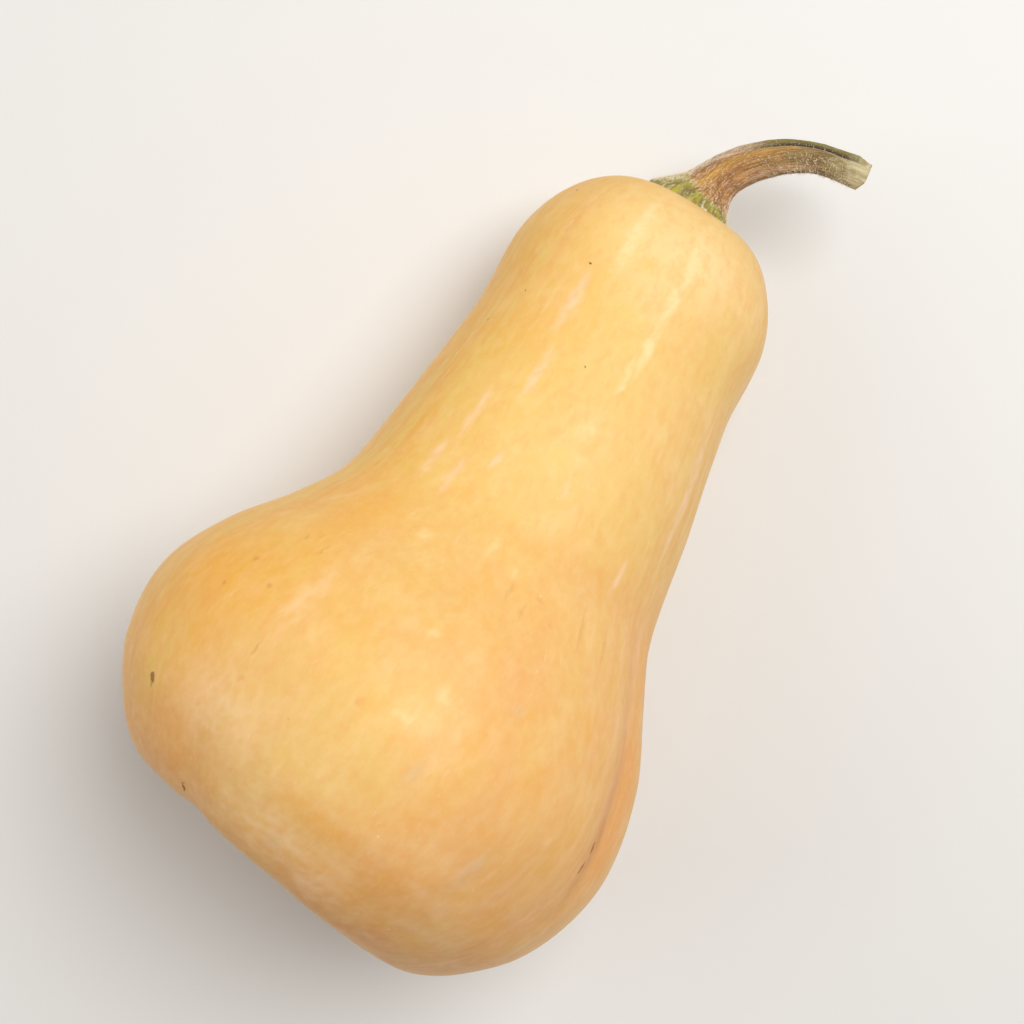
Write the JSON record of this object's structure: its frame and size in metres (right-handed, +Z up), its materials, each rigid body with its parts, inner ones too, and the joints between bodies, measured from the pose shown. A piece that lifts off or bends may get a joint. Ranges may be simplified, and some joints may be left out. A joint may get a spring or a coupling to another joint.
{
  "type": "butternut squash",
  "caption": "Whole butternut squash lying on its side, round bulb and long neck, with its bent, ribbed dry stem; rests on flat spots under bulb and neck.",
  "frame": {"origin": "on the surface that the squash lies on, under the middle of its bounding box", "axes": "+Z up, +X from the blossom end of the bulb towards the stem, +Y to the left flank seen from behind the bulb"},
  "size_m": [0.2636, 0.1468, 0.1438],
  "materials": {
    "skin": "smooth waxy tan skin, semi-matte, with pale flecks along its length and an orange blush",
    "dry_stem": "dry, ribbed and finely bristled, brown with olive green at the collar and a pale cut end"
  },
  "bodies": {
    "root": {"fruit": "skin", "stem": "dry_stem"}
  },
  "joints": []
}
